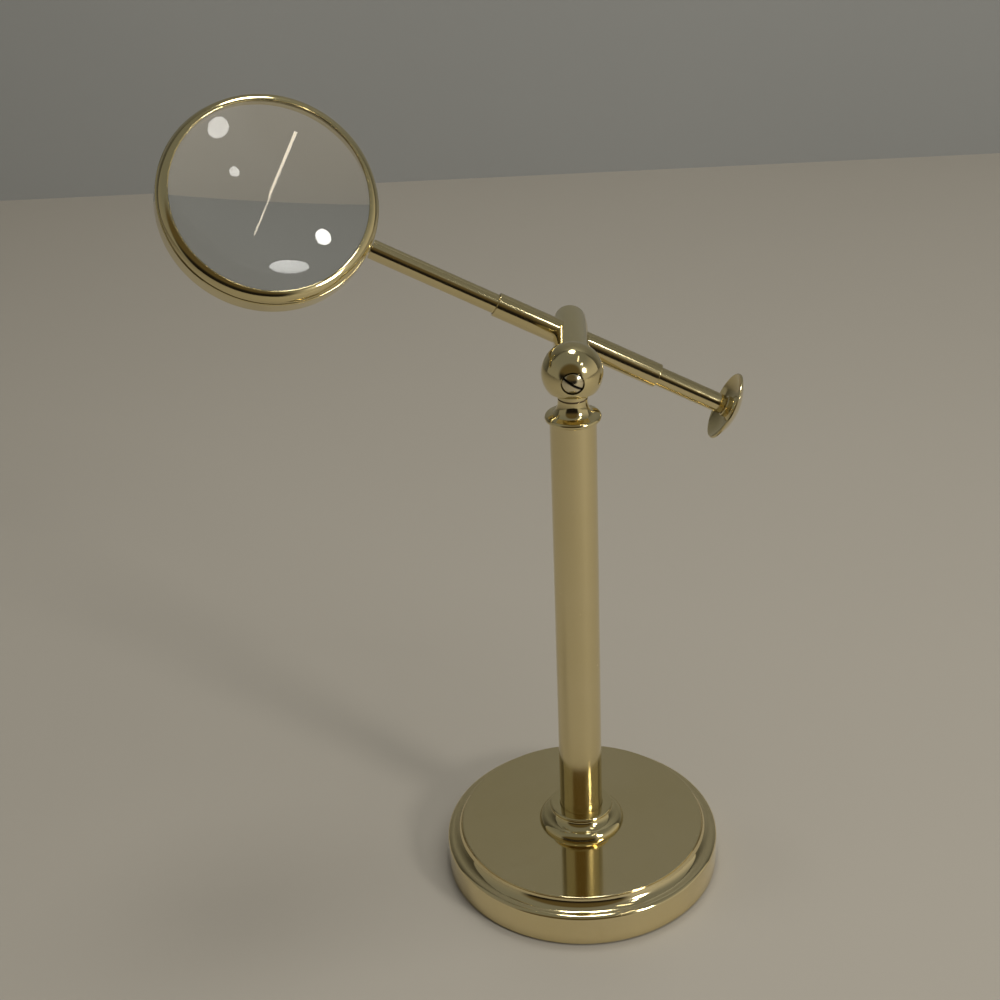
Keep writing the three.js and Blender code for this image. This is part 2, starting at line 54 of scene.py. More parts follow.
def softened(corners, radius, steps=5):
    """A closed outline whose corners of 5 degrees and more are cut back by radius (or by under half their
    sides) and joined by a parabola: (1-t)^2 a + 2t(1-t) corner + t^2 b, where a and b lie on the two sides.
    One more point on each side, a tenth of the cut beyond a and b, keeps the shading of the corner off the
    rest of the side."""
    least_bend, most_cut, support = math.radians(5), 0.45, 1.1
    corners = np.asarray(corners, float)
    before, after = np.roll(corners, 1, 0), np.roll(corners, -1, 0)
    back, on = before - corners, after - corners
    long_back, long_on = np.hypot(*back.T), np.hypot(*on.T)
    cut_back = np.minimum(radius, most_cut * long_back) / long_back
    cut_on = np.minimum(radius, most_cut * long_on) / long_on
    a, b = corners + back * cut_back[:, None], corners + on * cut_on[:, None]
    t = np.linspace(0, 1, steps)[None, :, None]
    points = (1 - t) ** 2 * a[:, None] + 2 * t * (1 - t) * corners[:, None] + t**2 * b[:, None]
    beyond_a, beyond_b = corners + support * (a - corners), corners + support * (b - corners)
    points = np.concatenate([beyond_a[:, None], points, beyond_b[:, None]], 1)
    bend = np.arctan2(back[:, 0] * on[:, 1] - back[:, 1] * on[:, 0], -(back * on).sum(1))
    plain = np.abs(bend) < least_bend
    points[plain, 0] = corners[plain]
    kept = np.repeat(~plain[:, None], points.shape[1], 1)
    kept[:, 0] = True
    return points[kept]


def turned_piece(name, outline, place=None, sides=192):
    """A piece of revolution about its own Z: x = r cos u, y = r sin u, z = h for each point (r, h) of an
    outline in mm that runs anticlockwise. An outline that starts and ends at r = 0 is open there, any other
    closes on itself. place is a 4x4 matrix into the scene, in metres. UV holds the turn, from 0 to 1, and the
    way along the outline, in centimetres."""
    outline = np.asarray(outline, float) * MM
    on_axis = outline[0, 0] < 1e-9 and outline[-1, 0] < 1e-9
    if not on_axis:
        outline = np.vstack([outline, outline[:1]])
    rows = len(outline)
    turn = np.linspace(0, 2 * np.pi, sides, endpoint=False)
    r, h = outline[:, 0][:, None], outline[:, 1][:, None]
    grid = np.stack([r * np.cos(turn), r * np.sin(turn), h + 0 * turn], axis=-1).reshape(-1, 3)
    row, column = np.meshgrid(np.arange(rows - 1), np.arange(sides), indexing="ij")
    beside = (column + 1) % sides
    rings = np.stack([row, row, row + 1, row + 1], -1)
    faces = rings * sides + np.stack([column, beside, beside, column], -1)
    along = np.concatenate([[0], np.cumsum(np.hypot(*np.diff(outline, axis=0).T))]) * 100
    v = along[rings]
    u = np.stack([column, column + 1, column + 1, column], -1) / sides
    return woven(name, grid, faces.reshape(-1, 4), np.stack([u, v], -1).reshape(-1, 2), place)


sharp_bend = math.radians(38)


def woven(name, points, faces, uv, place=None):
    """A mesh object from whole arrays of points, quads and UV corners, with doubled points merged."""
    if place is not None:
        points = points @ place[:3, :3].T + place[:3, 3]
    mesh = bpy.data.meshes.new(name)
    mesh.from_pydata(points.tolist(), [], faces.tolist())
    layer = mesh.uv_layers.new(name="UVMap")
    layer.data.foreach_set("uv", uv.astype(np.float32).ravel())
    piece = bpy.data.objects.new(name, mesh)
    bpy.context.collection.objects.link(piece)
    work = bmesh.new()
    work.from_mesh(mesh)
    bmesh.ops.remove_doubles(work, verts=work.verts, dist=1e-7)
    bmesh.ops.dissolve_degenerate(work, edges=work.edges, dist=1e-8)
    bmesh.ops.recalc_face_normals(work, faces=work.faces)
    work.to_mesh(mesh)
    work.free()
    mesh.shade_smooth()
    mesh.set_sharp_from_angle(angle=sharp_bend)
    return piece


class Wire:
    """One output of a node. Sums, differences and products of wires and numbers add Math nodes."""

    def __init__(self, tree, socket):
        self.tree, self.socket = tree, socket

    def join(self, operation, left, right):
        node = self.tree.nodes.new("ShaderNodeMath")
        node.operation = operation
        for slot, value in zip(node.inputs, (left, right)):
            if isinstance(value, Wire):
                self.tree.links.new(value.socket, slot)
            else:
                slot.default_value = value
        return Wire(self.tree, node.outputs[0])

    def __add__(self, other):
        return self.join("ADD", self, other)

    def __sub__(self, other):
        return self.join("SUBTRACT", self, other)

    def __mul__(self, other):
        return self.join("MULTIPLY", self, other)

    def __rsub__(self, other):
        return self.join("SUBTRACT", other, self)

    __radd__, __rmul__ = __add__, __mul__


class Finish:
    """A material, or the world, whose nodes are all made by one method."""

    def __init__(self, name, owner=None, keep=False):
        self.material = owner or bpy.data.materials.new(name)
        self.material.name = name
        self.material.use_nodes = True
        self.tree = self.material.node_tree
        if not keep:
            self.tree.nodes.clear()

    def make(self, kind, settings=(), sockets=(), output=0):
        """A node of that kind: its settings first, then its sockets' values or wires."""
        node = self.tree.nodes.new(kind)
        for key, value in dict(settings).items():
            setattr(node, key, value)
        for key, value in dict(sockets).items():
            if isinstance(value, Wire):
                self.tree.links.new(value.socket, node.inputs[key])
            else:
                node.inputs[key].default_value = value
        return Wire(self.tree, node.outputs[output]) if node.outputs else None

    def mix(self, factor, a, b):
        """A colour between a and b."""
        a, b = (c if isinstance(c, Wire) else (*c, 1) for c in (a, b))
        return self.make("ShaderNodeMix", {"data_type": "RGBA"}, {0: factor, 6: a, 7: b}, 2)

    def noise(self, where, scale, detail=3.0, rough=0.5):
        """A cloud pattern from 0 to 1 about 0.5."""
        sockets = {"Vector": where, "Scale": scale, "Detail": detail, "Roughness": rough}
        return self.make("ShaderNodeTexNoise", {}, sockets)

    def over(self, shader, factor):
        """Lays a shader over the surface that the material already has, by a factor."""
        output = next(node for node in self.tree.nodes if node.type == "OUTPUT_MATERIAL")
        under = Wire(self.tree, output.inputs["Surface"].links[0].from_socket)
        both = self.make("ShaderNodeMixShader", {}, {0: factor, 1: under, 2: shader})
        self.tree.links.new(both.socket, output.inputs["Surface"])

    def between(self, value, low, high):
        """0 below low, 1 above high, smooth in between."""
        settings = {"interpolation_type": "SMOOTHSTEP", "clamp": True}
        return self.make("ShaderNodeMapRange", settings, {"Value": value, "From Min": low, "From Max": high})


def lacquered_brass(name, rough, lines, depth, tone=(0.75, 0.65, 0.36), tarnish=0.35):
    """Turned brass under clear lacquer: its tone drifts in soft clouds, with brown specks where the lacquer
    has failed, fine turning lines along UV's second way, and wiping marks that vary its gloss. lines is how
    many come to a centimetre, and depth is how deep they are, in mm."""
    stain, speck = (0.52, 0.36, 0.16), (0.25, 0.16, 0.08)
    finish = Finish(name)
    where = finish.make("ShaderNodeTexCoord", output="Object")
    uv = finish.make("ShaderNodeTexCoord", output="UV")
    cloud = finish.noise(where, 28.0, 3.0)
    fine = finish.noise(where, 420.0, 4.0, 0.6)
    specks = finish.between(finish.noise(where, 1300.0, 2.0), 0.73, 0.8)
    blotch = finish.between(finish.noise(where, 65.0, 4.0, 0.65), 0.56, 0.78)
    pale = tuple(min(1.0, c * k) for c, k in zip(tone, (1.04, 1.04, 1.1)))
    deep = tuple(c * k for c, k in zip(tone, (0.94, 0.92, 0.84)))
    colour = finish.mix(cloud, deep, pale)
    colour = finish.mix(blotch * (0.3 * tarnish), colour, stain)
    colour = finish.mix(specks * (0.7 * tarnish), colour, speck)
    way = finish.make("ShaderNodeSeparateXYZ", {}, {"Vector": uv}, 1)
    ring_sockets = {"W": way, "Scale": lines, "Detail": 2.0}
    rings = finish.make("ShaderNodeTexNoise", {"noise_dimensions": "1D"}, ring_sockets)
    height = rings * 0.7 + fine * 0.3
    bump = finish.make("ShaderNodeBump", {}, {"Strength": 1.0, "Distance": depth * MM, "Height": height})
    gloss = rough + (cloud - 0.5) * 0.03 + (fine - 0.5) * 0.04 + specks * 0.2 + blotch * 0.03
    shader = finish.make(
        "ShaderNodeBsdfPrincipled",
        {},
        {
            "Base Color": colour,
            "Metallic": 1.0,
            "Roughness": gloss,
            "Coat Weight": 0.15,
            "Coat Roughness": 0.04,
            "Normal": bump,
        },
    )
    finish.make("ShaderNodeOutputMaterial", {}, {"Surface": shader})
    return finish.material


def dressed(piece, material, body, slot, *nodes):
    """Gives a new piece its finish and body, and hides the frame nodes that it stands for. slot is not used.
    """
    piece.data.materials.clear()
    piece.data.materials.append(material)
    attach(piece, body)
    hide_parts(*nodes)
    return piece


base_r, shoulder_r, platform_r, hole_r = 54, 51.9, 47.55, 2.6
platform_z, under_platform, under_shoulder = 18.1, 16.1, 11.2
base_outline = np.vstack([
    [[51.6, 0.4], [base_r - 0.5, 0.4], [base_r, 0.9], [base_r, 11.9]],
    arc((shoulder_r, 12.05), (2.1, 1.55), 18, 90, 24),
    arc((shoulder_r, 18.5), (4.2, 4.9), -93, -165, 30),
    [[platform_r + 0.3, platform_z - 0.15], [platform_r, platform_z], [hole_r, platform_z]],
    [[hole_r, under_platform], [45.3, under_platform], [45.3, under_shoulder]],
    [[49.5, under_shoulder], [51.6, 8.8]],
])
base_brass = lacquered_brass("base_brass", tone=(0.8, 0.69, 0.4), rough=0.075, lines=160.0, depth=0.001)
base = turned_piece("base_dish", softened(base_outline, 0.16), sides=256)
dressed(base, base_brass, "stand", "polished_brass", "base_shell")


# Ballast, bolt and washer
# The slug is rough cast iron, painted thinly black. The hexagon bolt, its washer and the spring washer of
# the tilt are plain steel. All of them stay as they are in the frame and only get their finishes.
def plain_metal(name, tone, rough, metallic=1.0, grain=300.0, depth=0.03):
    """Bare metal: its tone varies with a broad cloud, and its gloss with the same fine cloud as its shallow
    grain, whose depth is in mm."""
    finish = Finish(name)
    where = finish.make("ShaderNodeTexCoord", output="Object")
    broad, grit = finish.noise(where, 60.0, 4.0), finish.noise(where, grain, 4.0, 0.65)
    colour = finish.mix(broad, tuple(c * 0.8 for c in tone), tuple(min(1, c * 1.15) for c in tone))
    bump = finish.make("ShaderNodeBump", {}, {"Strength": 1.0, "Distance": depth * MM, "Height": grit})
    gloss = rough + (grit - 0.5) * 0.2
    sockets = {"Base Color": colour, "Metallic": metallic, "Roughness": gloss, "Normal": bump}
    shader = finish.make("ShaderNodeBsdfPrincipled", {}, sockets)
    finish.make("ShaderNodeOutputMaterial", {}, {"Surface": shader})
    return finish.material


def finished(node, material):
    """Gives a frame node its finish."""
    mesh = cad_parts[node].data
    mesh.materials.clear()
    mesh.materials.append(material)


finished("base_ballast", plain_metal("cast_iron_slug", (0.05, 0.05, 0.048), 0.65, 0.4, 220.0, 0.12))
plain_steel = plain_metal("plain_steel", (0.42, 0.41, 0.39), 0.35)
for node in ("base_bolt", "base_washer", "tilt_spring"):
    finished(node, plain_steel)

# Baize
# A disc of green wool felt glued under the slug. Its cut edge is soft, and it is what meets the table.
felt = Finish("green_felt")
felt_place = felt.make("ShaderNodeTexCoord", output="Object")
nap, tuft = felt.noise(felt_place, 2600.0, 4.0, 0.7), felt.noise(felt_place, 120.0, 3.0)
felt_colour = felt.mix(nap * 0.7 + tuft * 0.3, (0.012, 0.045, 0.025), (0.045, 0.12, 0.07))
felt_bump = felt.make("ShaderNodeBump", {}, {"Strength": 1.0, "Distance": 0.25 * MM, "Height": nap})
felt_shader = felt.make(
    "ShaderNodeBsdfPrincipled",
    {},
    {"Base Color": felt_colour, "Roughness": 0.95, "Sheen Weight": 0.4, "Normal": felt_bump},
)
felt.make("ShaderNodeOutputMaterial", {}, {"Surface": felt_shader})
baize_r, baize_thick = 51.4, 1.6
baize_outline = [
    [0, 0],
    [baize_r - 0.3, 0],
    [baize_r, 0.4],
    [baize_r, baize_thick - 0.4],
    [baize_r - 0.3, baize_thick],
    [0, baize_thick],
]
dressed(turned_piece("baize_disc", baize_outline), felt.material, "stand", "baize", "base_baize")

# Foot collar
# A turned moulding slipped over the column and clamped to the platform: a quarter round, a hollow and a
# thin lip.
collar_bore, collar_top, lip_r = 8.4, 26.0, 0.75
collar_outline = np.vstack([
    [[collar_bore, platform_z]],
    arc((13.6, platform_z), (3.2, 3.2), 0, 76, 26),
    arc((15.387, collar_top - 2 * lip_r), (4.187, 3.396), -106, -180, 30),
    arc((11.65, collar_top - lip_r), (lip_r, lip_r), -90, 90, 20),
    [[collar_bore + 0.12, collar_top], [collar_bore, collar_top - 0.15]],
])
collar_brass = lacquered_brass("collar_brass", rough=0.075, lines=260.0, depth=0.0007, tarnish=0.5)
collar = turned_piece("collar_moulding", softened(collar_outline, 0.1))
dressed(collar, collar_brass, "stand", "polished_brass", "foot_collar")

# Column
# Drawn brass tube, polished lengthways and then lacquered, so its gloss is a little softer than the turned
# pieces'. It stands on the platform, with a brass plug in its foot for the bolt.
column_r, column_bore, column_top = 8.35, 7.15, 194.6
column_brass = lacquered_brass(
    "column_brass", tone=(0.77, 0.665, 0.385), rough=0.14, lines=30.0, depth=0.001, tarnish=0.25)
column_outline = [
    [column_bore, platform_z], [column_r, platform_z], [column_r, column_top], [column_bore, column_top]]
column = turned_piece("column", softened(column_outline, 0.1))
dressed(column, column_brass, "stand", "polished_brass", "column_tube")
turned_inside = plain_metal("turned_inside", (0.55, 0.44, 0.22), 0.35, 1.0, 500.0, 0.01)
for node in ("column_foot_plug", "swivel_nut", "friction_sleeve"):
    finished(node, turned_inside)

# Capital
# Turned from bar: a spigot in the tube, a bead over its end, and a hollow up to the neck that the ball
# turns on.
stem_bore, spigot_r, spigot_z, bead_r, neck_r, neck_top = 3.11, 7.03, 184.6, 1.1, 5.3, 202.85
capital_outline = np.vstack([
    [[stem_bore, spigot_z], [spigot_r - 0.3, spigot_z], [spigot_r, spigot_z + 0.3], [spigot_r, column_top]],
    arc((8.95, column_top + bead_r), (bead_r, bead_r), -90, 67.5, 28),
    arc((8.3, 202.3), (3.0, 5.393), -112, -180, 30),
    [[neck_r, neck_top], [stem_bore, neck_top]],
])
capital_brass = lacquered_brass("capital_brass", rough=0.085, lines=260.0, depth=0.0007, tarnish=0.5)
capital = turned_piece("capital", softened(capital_outline, 0.1))
dressed(capital, capital_brass, "stand", "polished_brass", "column_cap")

# Washers
# Thin rings of waxed leather: one between capital and ball, one between ball and spindle, and the packing
# under the glass.
leather = Finish("waxed_leather")
leather_place = leather.make("ShaderNodeTexCoord", output="Object")
grain, stain = leather.noise(leather_place, 1800.0, 4.0, 0.65), leather.noise(leather_place, 150.0, 2.0)
leather_colour = leather.mix(grain * 0.5 + stain * 0.5, (0.035, 0.02, 0.012), (0.13, 0.075, 0.04))
leather_bump = leather.make("ShaderNodeBump", {}, {"Strength": 1.0, "Distance": 0.06 * MM, "Height": grain})
leather_gloss = 0.55 + grain * 0.3
leather_shader = leather.make(
    "ShaderNodeBsdfPrincipled",
    {},
    {"Base Color": leather_colour, "Roughness": leather_gloss, "Normal": leather_bump},
)
leather.make("ShaderNodeOutputMaterial", {}, {"Surface": leather_shader})


def ring_outline(inner, outer, bottom, top):
    """The four corners of a flat ring's section."""
    return [[inner, bottom], [outer, bottom], [outer, top], [inner, top]]


washer_thick = 0.5
swivel_outline = ring_outline(3.17, 5.1, neck_top, neck_top + washer_thick)
swivel_disc = turned_piece("swivel_disc", softened(swivel_outline, 0.1), sides=96)
dressed(swivel_disc, leather.material, "stand", "leather", "swivel_washer")


# Ball head
# A turned ball with a short neck and a stem below, flat behind, and recessed in front for the screw that
# draws the joint up.
pivot_z, ball_r = 212.5, 10.85
back_y, recess_y, journal_bore, recess_r = 8.4, -4.2, 3.7, 4.1
tilt_axis = np.array([[1, 0, 0, 0], [0, 0, 1, 0], [0, -1, 0, pivot_z * MM], [0, 0, 0, 1]], float)
ball_outline = np.vstack([
    [[journal_bore, back_y], [journal_bore, recess_y], [recess_r, recess_y]],
    arc((0, 0), (ball_r, ball_r), -67.8, 50.7, 150),
])
ball_brass = lacquered_brass("ball_brass", rough=0.1, lines=120.0, depth=0.001, tarnish=0.35)
ball = turned_piece("ball_head", softened(ball_outline, 0.08, 4), tilt_axis, sides=256)
underside_z = pivot_z - 6.2
work = bmesh.new()
work.from_mesh(ball.data)
parts = work.verts[:] + work.edges[:] + work.faces[:]
plane = {"plane_co": (0, 0, underside_z * MM), "plane_no": (0, 0, -1)}
cut = bmesh.ops.bisect_plane(work, geom=parts, clear_outer=True, **plane)
rim = [edge for edge in cut["geom_cut"] if isinstance(edge, bmesh.types.BMEdge)]
bmesh.ops.holes_fill(work, edges=rim)
bmesh.ops.recalc_face_normals(work, faces=work.faces)
work.to_mesh(ball.data)
work.free()
ball.data.shade_smooth()
ball.data.set_sharp_from_angle(angle=sharp_bend)
thread_r, stem_r, stem_foot, thread_top, neck_foot = 2.4, 3.05, 178.95, 184.55, 203.4
stem_outline = [
    [0, stem_foot],
    [thread_r - 0.3, stem_foot],
    [thread_r, stem_foot + 0.3],
    [thread_r, thread_top],
    [stem_r, thread_top],
    [stem_r, neck_foot],
    [neck_r, neck_foot],
    [neck_r, underside_z + 0.2],
    [0, underside_z + 0.2],
]
stem = turned_piece("ball_stem", stem_outline, sides=96)
dressed(ball, ball_brass, "head", "polished_brass", "pivot_ball")
stem.data.materials.append(ball_brass)
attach(stem, "head")

disc_y = back_y + 0.05
disc_outline = ring_outline(journal_bore, 6.3, disc_y, disc_y + washer_thick)
tilt_disc = turned_piece("tilt_disc", softened(disc_outline, 0.1), tilt_axis, sides=96)
dressed(tilt_disc, leather.material, "head", "leather", "tilt_washer")


# Tilt screw
# A domed cheese head, sawn across for a screwdriver. It fills the ball's recess and stands a little proud of
# the ball, and its slot is painted near black: painted shade for the shadow inside it.
def slotted_head(name, radius, rim, dome, back, slot_half, slot_floor, turn, place):
    """A round head made of closed loops, one on each chord. Chords lie along the slot: a point of the top is
    (a, b, rim - dome (1 - r^2 / radius^2)), or the slot's floor where |b| < slot_half. Each loop runs over
    the top, down one side, back along the underside and up the other. Its own -Z points out of the ball."""
    edge = radius * np.sin(np.linspace(-np.pi / 2, np.pi / 2, 49))
    edge = edge[np.abs(edge) > slot_half + 0.02]
    walls = np.array([-slot_half - 1e-4, -slot_half, slot_half, slot_half + 1e-4])
    chord = np.sort(np.concatenate([edge, walls]))
    half = np.sqrt(np.maximum(radius**2 - chord**2, 0))
    share = np.sin(np.linspace(-np.pi / 2, np.pi / 2, 41))
    a = half[:, None] * share
    b = chord[:, None] + 0 * share
    top = rim - dome * (1 - (a**2 + b**2) / radius**2)
    inside = np.abs(chord) <= slot_half
    top = np.where(inside[:, None], np.maximum(top, slot_floor), top)
    upper, lower = np.stack([a, b, top], -1), np.stack([a, b, back + 0 * a], -1)[:, ::-1]
    loops = np.concatenate([upper, lower], 1)
    cos, sin = np.cos(turn), np.sin(turn)
    loops = loops @ np.array([[cos, sin, 0], [-sin, cos, 0], [0, 0, 1]])
    rows, columns = loops.shape[:2]
    row, column = np.meshgrid(np.arange(rows - 1), np.arange(columns), indexing="ij")
    beside = (column + 1) % columns
    chords = np.stack([row, row, row + 1, row + 1], -1)
    round_loop = np.stack([column, beside, beside, column], -1)
    faces = chords * columns + round_loop
    uv = np.stack([round_loop / columns, chords / rows], -1)
    return woven(name, loops.reshape(-1, 3) * MM, faces.reshape(-1, 4), uv.reshape(-1, 2), place)


screw_brass = lacquered_brass(
    "screw_brass", tone=(0.74, 0.66, 0.45), rough=0.14, lines=90.0, depth=0.004, tarnish=0.9)
head_r, head_rim, head_dome, head_back = 3.6, -9.9, 1.4, -4.9
slot_turn, slot_half, slot_floor = math.radians(33), 0.45, -9.3
shank_r, shank_foot, shank_end = 1.6, -5.2, 6.6
# Painted shade: a copy of the screw's brass whose slot is painted near black, where shadow falls in it.
slot_shade = Finish("slot_painted_shade", screw_brass.copy(), keep=True)
slot_shade_place = slot_shade.make("ShaderNodeTexCoord", output="Object")
slot_line = (math.sin(slot_turn) / MM, 0, math.cos(slot_turn) / MM)
off_slot = slot_shade.make("ShaderNodeVectorMath", {"operation": "DOT_PRODUCT"}, {0: slot_shade_place, 1: slot_line}, 1)
off_slot = off_slot - pivot_z * math.cos(slot_turn)
in_slot = 1 - slot_shade.between(off_slot * off_slot, slot_half**2, (1.12 * slot_half) ** 2)
# The near-black shader is painted shade, laid over the slot band only.
painted_slot_shade = slot_shade.make("ShaderNodeBsdfPrincipled", {}, {"Base Color": (0.018, 0.013, 0.007, 1), "Roughness": 0.8})
slot_shade.over(painted_slot_shade, in_slot)
head = slotted_head(
    "screw_head", head_r, head_rim, head_dome, head_back, slot_half, slot_floor, slot_turn, tilt_axis)
dressed(head, slot_shade.material, "arm", "polished_brass", "tilt_screw")
shank_outline = [
    [0, shank_foot],
    [shank_r, shank_foot],
    [shank_r, shank_end - 0.3],
    [shank_r - 0.3, shank_end],
    [0, shank_end],
]
shank = turned_piece("screw_shank", shank_outline, tilt_axis, sides=48)
shank.data.materials.append(screw_brass)
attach(shank, "arm")

# Spindle
# A plain bar behind the ball. Its journal turns in the ball, and its far end is eased and slightly tapered.
journal_r, journal_end, spindle_r, shoulder_y, spindle_end, end_r = 3.64, -3.9, 6.5, 9.0, 49.8, 1.0
spindle_outline = np.vstack([
    [[0, journal_end], [journal_r - 0.3, journal_end], [journal_r, journal_end + 0.3]],
    [[journal_r, shoulder_y], [spindle_r - 0.3, shoulder_y]],
    [[spindle_r, shoulder_y + 0.3], [spindle_r, 39.9]],
    arc((4.9, spindle_end - end_r), (end_r, end_r), 0, 90, 16),
    [[0, spindle_end]],
])
spindle_brass = lacquered_brass("spindle_brass", tone=(0.8, 0.71, 0.41), rough=0.13, lines=60.0, depth=0.001)
spindle = turned_piece("spindle", spindle_outline, tilt_axis)
dressed(spindle, spindle_brass, "arm", "polished_brass", "tilt_spindle")

# Socket tube
# A short thin tube through the spindle, with its ends spun in a little to hold the spring lining.
tilt = math.radians(27.2)
socket_y = 32.0
arm_x, arm_z = np.array([math.sin(tilt), 0, math.cos(tilt)]), np.array([-math.cos(tilt), 0, math.sin(tilt)])
along_rod = np.eye(4)
along_rod[:3, :3] = np.column_stack([arm_x, [0, 1, 0], arm_z])
along_rod[:3, 3] = np.array([0, socket_y, pivot_z]) * MM
tube_r, tube_bore, lip_bore, lip_thick = 4.5, 4.08, 3.85, 0.8
tube_low, tube_high = -35.6, 29.9
tube_outline = [
    [lip_bore, tube_low],
    [tube_r - 0.2, tube_low],
    [tube_r, tube_low + 0.21],
    [tube_r, tube_high - 0.21],
    [tube_r - 0.2, tube_high],
    [lip_bore, tube_high],
    [lip_bore, tube_high - lip_thick],
    [tube_bore, tube_high - lip_thick],
    [tube_bore, tube_low + lip_thick],
    [lip_bore, tube_low + lip_thick],
]
tube_brass = lacquered_brass(
    "tube_brass", tone=(0.76, 0.655, 0.37), rough=0.11, lines=40.0, depth=0.0006, tarnish=0.6)
tube = turned_piece("rod_tube", softened(tube_outline, 0.08), along_rod)
dressed(tube, tube_brass, "arm", "polished_brass", "socket_tube")

# Rod
# Solid bar, polished by sliding, with a tenon at each end for the lens frame and the knob.
rod_r, rod_low, rod_high = 3.6, -62.5, 78.9
knob_tenon_r, knob_tenon_end, lens_tenon_r, lens_tenon_end = 2, -66.5, 1.6, 81.3
rod_outline = softened([
    [0, knob_tenon_end],
    [knob_tenon_r, knob_tenon_end],
    [knob_tenon_r, rod_low],
    [rod_r, rod_low],
    [rod_r, rod_high],
    [lens_tenon_r, rod_high],
    [lens_tenon_r, lens_tenon_end],
    [0, lens_tenon_end],
], 0.06)
rod_outline[:4, 0] = 0
rod_outline[-4:, 0] = 0
rod_brass = lacquered_brass(
    "rod_brass", tone=(0.75, 0.645, 0.365), rough=0.1, lines=50.0, depth=0.0006, tarnish=0.5)
dressed(turned_piece("rod", rod_outline, along_rod), rod_brass, "rod", "polished_brass", "slide_rod")

# Knob
# A thin dish on a short hub, turned in one piece, hollow side towards the lens.
knob_curve, knob_end, dish_depth, hub_r, hub_face, tenon_bore = 21.405, -68.4, 2.825, 3.95, -63.1, 2.1
knob_outline = np.vstack([
    arc((0, knob_end + knob_curve), (knob_curve, knob_curve), -90, -52.6, 60),
    arc((12.533, -64.0), (0.467, 0.7), 0, 90, 12),
    np.column_stack([np.linspace(12.3, 5, 30), -66.358 + dish_depth * np.linspace(1, 0, 30) ** 2]),
    [[hub_r, -65.31], [hub_r, hub_face - 0.3], [hub_r - 0.3, hub_face], [tenon_bore, hub_face]],
    [[tenon_bore, -66.8], [0, -66.8]],
])
knob_outline[0, 0] = 0
knob_brass = lacquered_brass(
    "knob_brass", tone=(0.74, 0.64, 0.36), rough=0.13, lines=120.0, depth=0.003, tarnish=0.7)
dressed(turned_piece("knob", knob_outline, along_rod), knob_brass, "rod", "polished_brass", "finger_knob")

# Lens cell
# A deep ring with a ledge for the glass, eased round its back edge, with the rod's tenon soldered into its
# wall.
twist, lens_reach = math.radians(43.2), 118.25
lens_centre = np.array([0, socket_y, pivot_z]) + lens_reach * arm_z
lens_axis = math.sin(twist) * arm_x - math.cos(twist) * np.array([0, 1, 0])
along_lens = np.eye(4)
along_lens[:3, :3] = np.column_stack([np.cross(arm_z, lens_axis), arm_z, lens_axis])
along_lens[:3, 3] = lens_centre * MM
cell_r, cell_bore, cell_recess, back_round = 39.05, 36, 38.2, 1.6
cell_back, cell_ledge, cell_front = -4.3, 2.1, 4.05
cell_outline = np.vstack([
    [[cell_bore, cell_back], [cell_r - back_round, cell_back]],
    arc((cell_r - back_round, cell_back + back_round), (back_round, back_round), -80, 0, 16),
    [[cell_r, cell_front - 0.3], [cell_r - 0.3, cell_front], [cell_recess, cell_front]],
    [[cell_recess, cell_ledge], [cell_bore, cell_ledge]],
])
ring_brass = lacquered_brass(
    "ring_brass", tone=(0.73, 0.635, 0.355), rough=0.085, lines=140.0, depth=0.0009, tarnish=0.5)
cell = turned_piece("lens_ring", softened(cell_outline, 0.1), along_lens, sides=256)
dressed(cell, ring_brass, "rod", "polished_brass", "lens_cell")

# Bezel
# A quarter-round ring pressed in over the glass. Its skirt lines the recess, and a fine seam parts it from
# the cell.
skirt_r, skirt_bore, skirt_foot, seam, window_r = 38.05, 37.25, 2.7, 4.3, 34.9
bezel_outline = np.vstack([
    [[skirt_bore, skirt_foot], [skirt_r, skirt_foot], [skirt_r, seam]],
    arc((window_r, seam), (3.7, 3.6), 0, 85, 40),
    [[window_r, 7.65], [window_r, 7.15], [36.5, 7.0], [skirt_bore, 6.25]],
])
bezel = turned_piece("bezel", softened(bezel_outline, 0.08), along_lens, sides=256)
dressed(bezel, ring_brass, "rod", "polished_brass", "bezel_ring")
finished("lens_packing", leather.material)

# Glass
# A biconvex lens of clear crown glass, with both faces ground to one sphere. Its edge is hidden under the
# bezel.
glass_curve, glass_r, glass_low, glass_high = 177.0, 37.0, 2.85, 6.05
sweep = math.degrees(math.asin(glass_r / glass_curve))
rise = glass_curve - math.sqrt(glass_curve**2 - glass_r**2)
glass_outline = np.vstack([
    arc((0, glass_low - rise + glass_curve), (glass_curve, glass_curve), -90, -90 + sweep, 64),
    arc((0, glass_high + rise - glass_curve), (glass_curve, glass_curve), 90 - sweep, 90, 64),
])
glass_outline[0, 0] = glass_outline[-1, 0] = 0
clear = Finish("crown_glass")
clear_place = clear.make("ShaderNodeTexCoord", output="Object")
smear = clear.between(clear.noise(clear_place, 45.0, 5.0, 0.6), 0.55, 0.8)
clear_tint = clear.mix(smear, (0.975, 0.985, 0.975), (0.955, 0.965, 0.955))
clear_shader = clear.make(
    "ShaderNodeBsdfPrincipled",
    {},
    {"Base Color": clear_tint, "Roughness": smear * 0.012, "IOR": 1.52, "Transmission Weight": 1.0},
)
clear.make("ShaderNodeOutputMaterial", {}, {"Surface": clear_shader})
lens = turned_piece("lens", glass_outline, along_lens, sides=256)
dressed(lens, clear.material, "rod", "glass", "lens_glass")
